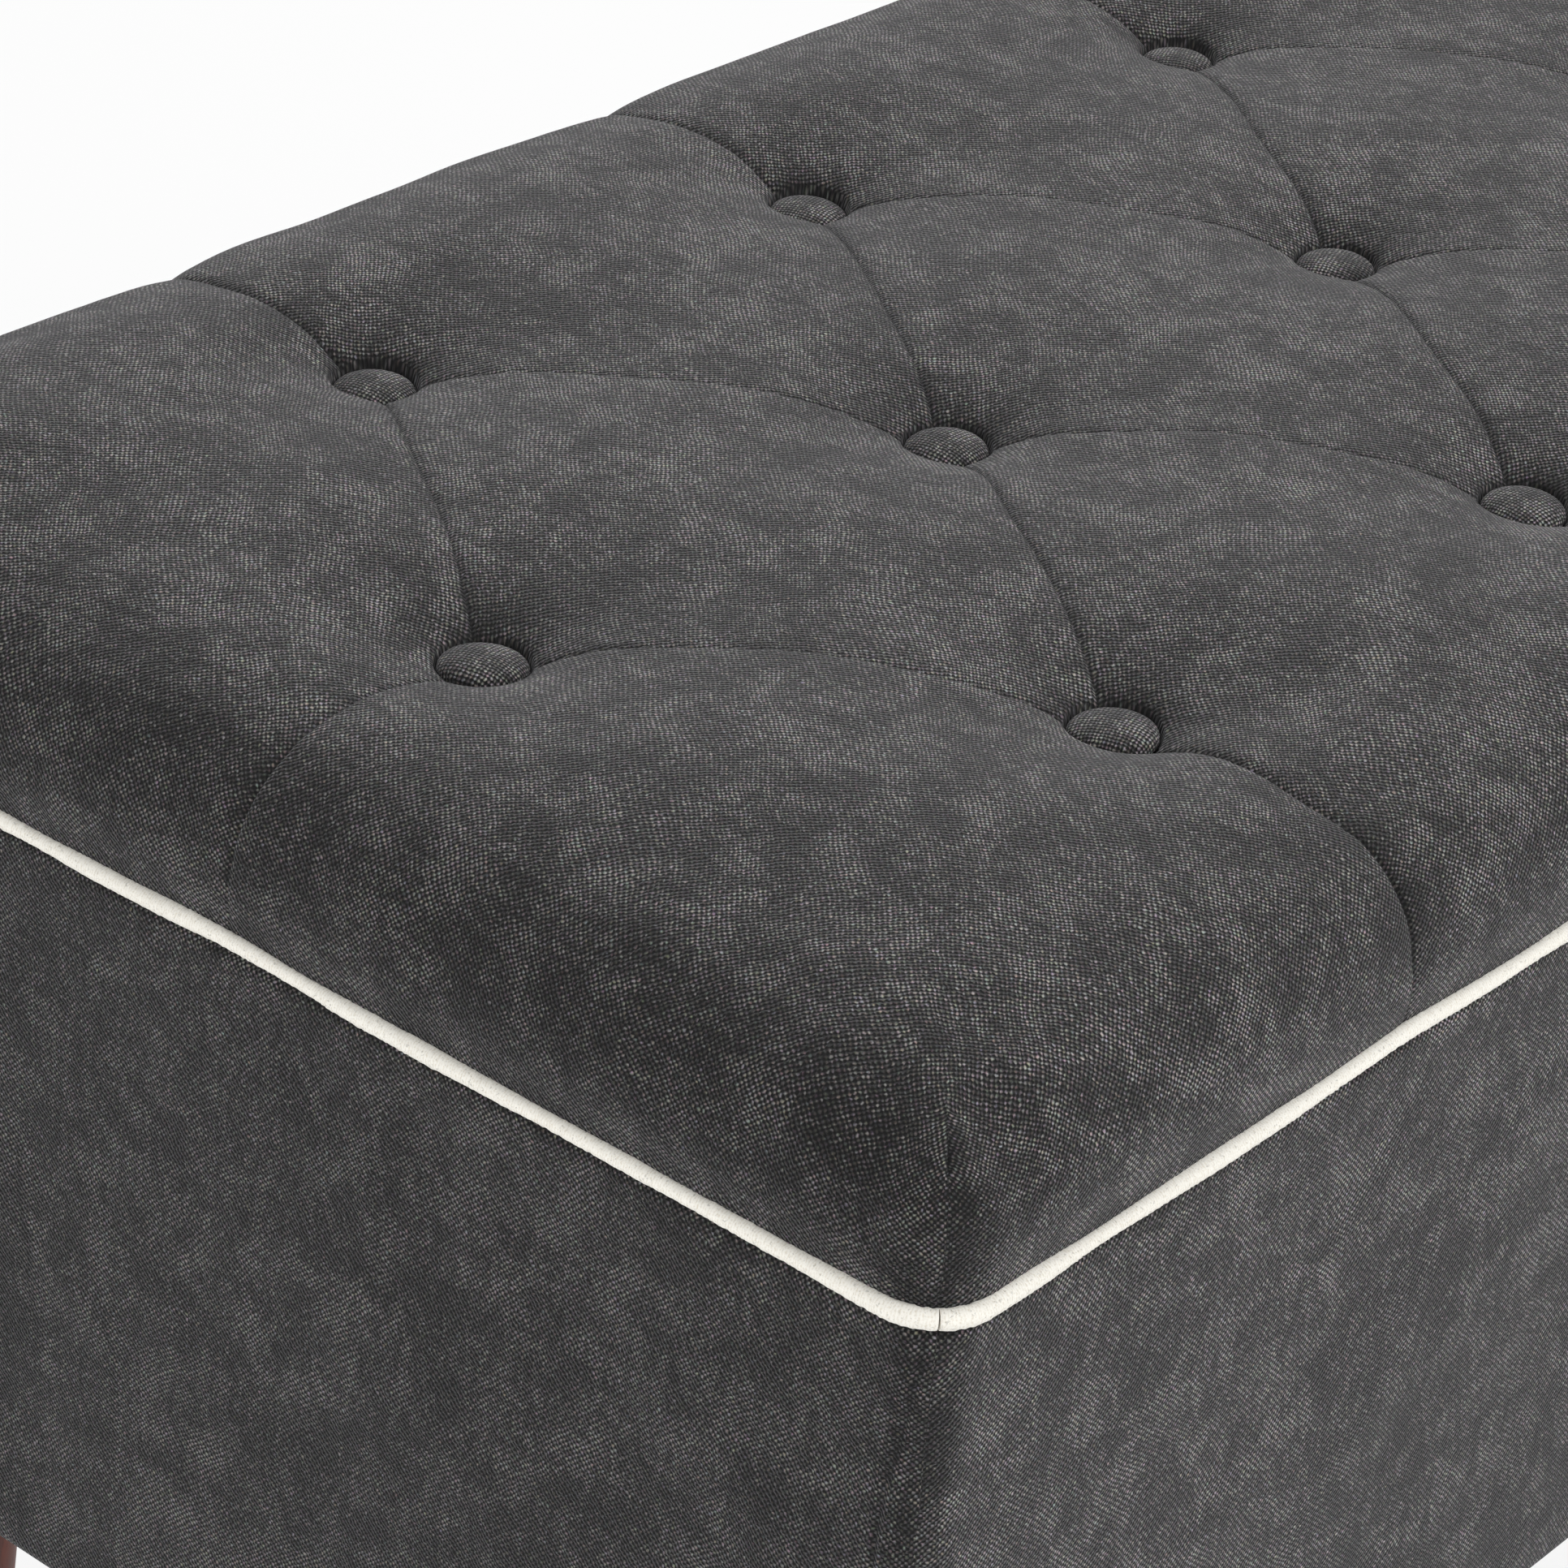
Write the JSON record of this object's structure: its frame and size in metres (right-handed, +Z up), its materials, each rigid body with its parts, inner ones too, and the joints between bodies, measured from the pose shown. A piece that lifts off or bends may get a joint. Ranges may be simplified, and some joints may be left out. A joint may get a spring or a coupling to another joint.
{
  "type": "storage ottoman bench",
  "caption": "Upholstered storage bench with a hinged diamond-tufted lid, contrast piping and tapered wooden legs.",
  "frame": {"origin": "on the floor under the middle of the bench", "axes": "+X along the length, -Y the front, +Y the hinged back, +Z up"},
  "size_m": [1.0744, 0.4465, 0.4293],
  "materials": {
    "charcoal_fabric": "soft woven chenille-look upholstery cloth, mottled charcoal",
    "ivory_piping": "plain woven ivory piping",
    "foam": "open-cell foam",
    "black_lining": "black non-woven lining",
    "dust_cover_cloth": "thin black non-woven cloth",
    "stained_wood": "satin reddish brown stain",
    "frame_wood": "raw plywood",
    "zinc_steel": "zinc plated",
    "twine": "waxed twine",
    "glide_plastic": "matte nylon",
    "bumper_rubber": "soft self-adhesive dots"
  },
  "bodies": {
    "box": {"front_panel": "frame_wood", "back_panel": "frame_wood", "left_end_panel": "frame_wood", "right_end_panel": "frame_wood", "leg_blocks": "frame_wood", "bottom_cleats": "frame_wood", "centre_rail": "frame_wood", "bottom_panel": "frame_wood", "panel_screws": "zinc_steel", "cleat_screws": "zinc_steel", "bottom_panel_screws": "zinc_steel", "front_left_leg": "stained_wood", "rear_left_leg": "stained_wood", "front_right_leg": "stained_wood", "rear_right_leg": "stained_wood", "leg_bolts": "zinc_steel", "leg_plates": "zinc_steel", "leg_plate_screws": "zinc_steel", "foot_glides": "glide_plastic", "box_padding": "foam", "box_cover": "charcoal_fabric", "box_lining": "black_lining", "floor_liner": "black_lining", "dust_cover": "dust_cover_cloth", "lid_bumpers": "bumper_rubber", "hinge_box_leaves": "zinc_steel", "hinge_pins": "zinc_steel", "hinge_box_screws": "zinc_steel", "stay_box_brackets": "zinc_steel", "stay_box_screws": "zinc_steel", "stay_box_rivets": "zinc_steel"},
    "lid": {"lid_board": "frame_wood", "lid_foam": "foam", "lid_cover": "charcoal_fabric", "lid_piping": "ivory_piping", "lid_lining": "black_lining", "button_covers": "charcoal_fabric", "button_shells": "zinc_steel", "button_ties": "twine", "tie_washers": "zinc_steel", "hinge_lid_leaves": "zinc_steel", "hinge_lid_screws": "zinc_steel", "stay_lid_brackets": "zinc_steel", "stay_lid_screws": "zinc_steel", "stay_lid_rivets": "zinc_steel"},
    "left_stay_lower": {"left_stay_lower_arm": "zinc_steel", "left_knee_rivet": "zinc_steel"},
    "left_stay_upper": {"left_stay_upper_arm": "zinc_steel"},
    "right_stay_lower": {"right_stay_lower_arm": "zinc_steel", "right_knee_rivet": "zinc_steel"},
    "right_stay_upper": {"right_stay_upper_arm": "zinc_steel"}
  },
  "joints": [
    {"name": "lid_hinge", "type": "hinge", "parent": "box", "child": "lid", "pos_m": [0, 0.2223, 0.3678], "axis": [-1, 0, 0], "range_deg": [0, 95]},
    {"name": "left_stay_foot_pivot", "type": "hinge", "parent": "box", "child": "left_stay_lower", "pos_m": [-0.5097, 0.1523, 0.2578], "axis": [-1, 0, 0], "range_deg": [0, 95]},
    {"name": "left_stay_head_pivot", "type": "hinge", "parent": "lid", "child": "left_stay_upper", "pos_m": [-0.5074, 0.0623, 0.3603], "axis": [-1, 0, 0], "range_deg": [-95, 0]},
    {"name": "right_stay_foot_pivot", "type": "hinge", "parent": "box", "child": "right_stay_lower", "pos_m": [0.5097, 0.1523, 0.2578], "axis": [-1, 0, 0], "range_deg": [0, 95]},
    {"name": "right_stay_head_pivot", "type": "hinge", "parent": "lid", "child": "right_stay_upper", "pos_m": [0.5074, 0.0623, 0.3603], "axis": [-1, 0, 0], "range_deg": [-95, 0]}
  ],
  "couplings": [
    {"joint": "left_stay_foot_pivot", "follows": "lid_hinge", "ratio": 1},
    {"joint": "left_stay_head_pivot", "follows": "lid_hinge", "ratio": -1},
    {"joint": "right_stay_foot_pivot", "follows": "lid_hinge", "ratio": 1},
    {"joint": "right_stay_head_pivot", "follows": "lid_hinge", "ratio": -1}
  ]
}
